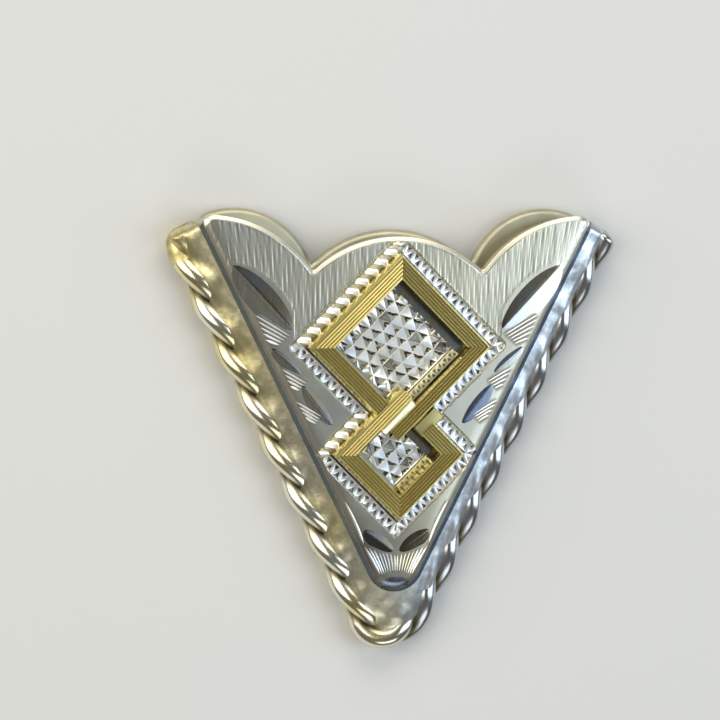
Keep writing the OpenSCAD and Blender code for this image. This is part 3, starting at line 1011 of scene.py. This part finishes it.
# smooth pieces at the crossings: middle over the point of the sides, size, top under the bars' top
seams = [{"at": (-0.22, 17.72), "size": (0.6, 3.5), "under": 0.03, "lean": 0.55, "metal": brightGold},
         {"at": (2.38, 17.24), "size": (1.1, 2.4), "under": 0.3, "lean": 0.0, "metal": dullGold}]
seamRound = 0.14


# distance across, height and painted shade of each point of a bar's outline
def barProfile(width):
    height = barTop - barFoot - bar["below"]
    points = [(0, 0, 0), (0, bar["foot"], 0), (bar["slope"] - bar["outerLip"], height - bar["lip"], 0),
              (bar["slope"], height, 0)]
    for k in range(int((width - bar["slope"] - bar["ridge"]) / bar["pitch"])):
        start = bar["slope"] + bar["ridge"] + bar["pitch"] * k
        points.append((start, height, 0))
        points.append((start + bar["steep"], height - bar["grooveDepth"], 1))
        points.append((start + bar["steep"] + bar["shallow"], height, 0))
    return points + [(width - bar["innerLip"], height, 0), (width, height - bar["lip"], 0), (width, 0, 0)]


# one bar of a square, mitred at an end unless that end is given as a length
def barOf(centre, half, turn, startAt=None, endAt=None, width=squares["barWidth"]):
    outward = Vector((math.cos(turn), math.sin(turn), 0))
    along = Vector((-outward.y, outward.x, 0))
    made = bmesh.new()
    cut = made.verts.layers.float.new("cut")
    first = -half if startAt is None else startAt
    last = half if endAt is None else endAt
    verts = []
    for w, z, dark in barProfile(width):
        spot = centre + outward * (half - w) + along * first + Vector((0, 0, barFoot + z))
        verts.append(made.verts.new(spot))
        verts[-1][cut] = dark
    outline = made.faces.new(verts)
    grown = bmesh.ops.extrude_face_region(made, geom=[outline])["geom"]
    moved = [g for g in grown if isinstance(g, bmesh.types.BMVert)]
    bmesh.ops.translate(made, vec=along * (last - first), verts=moved)
    for end, free in ((-1, startAt), (1, endAt)):
        if free is None:
            cutAway(made, centre, (along * end - outward).normalized())
            closeHoles(made)
    bmesh.ops.recalc_face_normals(made, faces=made.faces)
    return made


# a smooth piece that stands on the face and runs up to the right
def seamPiece(seam):
    top = barTop - seam["under"]
    width, length = seam["size"]
    spot = Vector((seam["at"][0], seam["at"][1] - middle, (top + barFoot) / 2))
    made = block(spot, (length, width, top - barFoot), math.radians(45), seamRound)
    for vertex in made.verts:
        if vertex.co.z > spot.z:
            aside = (spot.x - vertex.co.x + vertex.co.y - spot.y + width / rootTwo) / rootTwo
            vertex.co.z -= aside * seam["lean"]
    paint(made.faces, goldMetals, seam["metal"])
    return made


# where a bar stops, at the bar that passes over it
def stopAt(half):
    return half - squares["barWidth"] - 2 * squares["crossingGap"] / rootTwo - squares["barWidth"]


# the low part of a bar, left (-1) or right (1) of the middle
def lowBar(side):
    low = (barTop - barFoot) / 2 - crossing["lowUnder"]
    shift = side * crossing["lowShift"]
    size = (crossing["lowLength"], squares["barWidth"] - crossing["lowNarrower"], low)
    return block(Vector((side * crossX - shift, crossH - middle + shift, barFoot + low / 2)), size,
                 math.radians(-45), 0)


def goldSquares():
    quarter = math.radians(45)
    narrow = squares["barWidth"] - bar["narrower"]
    half = squares["upper"] / 2
    centre = Vector((0, upperH - middle, 0))
    made = barOf(centre, half, quarter)
    joinInto(made, barOf(centre, half, 3 * quarter))
    # the lower right bar runs on over the other square to a blunt end
    joinInto(made, barOf(centre, half, 7 * quarter, startAt=-half, width=narrow))
    # the lower left bar stops at the bar that passes over it
    joinInto(made, barOf(centre, half, 5 * quarter, endAt=stopAt(half) + crossing["upperOn"]))
    joinInto(made, lowBar(-1))
    joinInto(made, seamPiece(seams[0]))
    finishPiece("upperSquare", made, goldMetals, ["upper_square"], smooth=20)

    half = squares["lower"] / 2
    centre = Vector((0, lowerH - middle, 0))
    made = barOf(centre, half, 5 * quarter)
    joinInto(made, barOf(centre, half, 7 * quarter))
    # here it is the upper left bar that runs on, and the upper right one that stops
    joinInto(made, barOf(centre, half, 3 * quarter, startAt=-half, width=narrow))
    stop = stopAt(half) - seams[1]["size"][0] + crossing["lowerOn"]
    joinInto(made, barOf(centre, half, quarter, endAt=stop))
    joinInto(made, lowBar(1))
    joinInto(made, seamPiece(seams[1]))
    finishPiece("lowerSquare", made, goldMetals, ["lower_square"], smooth=20)


goldSquares()

# clamp screw: its rims are broken, which are the level edges that turn by more than some radians
screwRim = {"width": 0.05, "segments": 2, "turn": 1, "level": 0.01}


def clampScrew():
    made = copyOf("clamp_screw")
    rims = [e for e in made.edges
            if e.calc_face_angle(0) > screwRim["turn"] and climb(e) < screwRim["level"]]
    bevelled(made, rims, screwRim["width"], screwRim["segments"])
    finishPiece("clampScrew", made, [steel], ["clamp_screw"], smooth=30)


clampScrew()
print("pieces made")

# a plain pale floor, in metres
floorLook = {"half": 1.2, "colour": (0.74, 0.735, 0.72), "rough": 0.9}


def floor():
    made = bmesh.new()
    bmesh.ops.create_grid(made, x_segments=2, y_segments=2, size=floorLook["half"])
    mesh = bpy.data.meshes.new("floor")
    made.to_mesh(mesh)
    made.free()
    ground = newObject("floor", mesh)
    coat, shader = newMaterial("floor_paint")
    shader.inputs["Base Color"].default_value = (*floorLook["colour"], 1)
    shader.inputs["Roughness"].default_value = floorLook["rough"]
    mesh.materials.append(coat)


floor()

# soft panels all round, dark overhead: name, where it stands in mm, size in mm, power, colour
lights = [("left", (-300, 60, 260), (260, 420), 0.95, (1.0, 0.95, 0.82)),
          ("right", (285, 0, 275), (200, 420), 0.75, (0.74, 0.87, 1.0)),
          ("mouthward", (0, 320, 250), (420, 200), 0.75, (1.0, 0.98, 0.92)),
          ("tipward", (40, -330, 250), (300, 140), 0.25, (0.95, 0.97, 1.0))]
surround = (0.13, 0.127, 0.118)


def placeLights():
    for name, spot, size, power, colour in lights:
        data = bpy.data.lights.new(name, "AREA")
        data.shape = "RECTANGLE"
        data.size, data.size_y = size[0] * mm, size[1] * mm
        data.energy = power
        data.color = colour
        lamp = newObject(name, data)
        lamp.location = Vector(spot) * mm
        lamp.rotation_mode = "QUATERNION"
        lamp.rotation_quaternion = (-Vector(spot)).to_track_quat("-Z", "Y")
    world = bpy.data.worlds.new("studio")
    scene.world = world
    world.use_nodes = True
    world.node_tree.nodes["Background"].inputs["Color"].default_value = (*surround, 1)
    world.node_tree.nodes["Background"].inputs["Strength"].default_value = 1.0
    scene.view_settings.view_transform = "Standard"


placeLights()
print("lights placed")
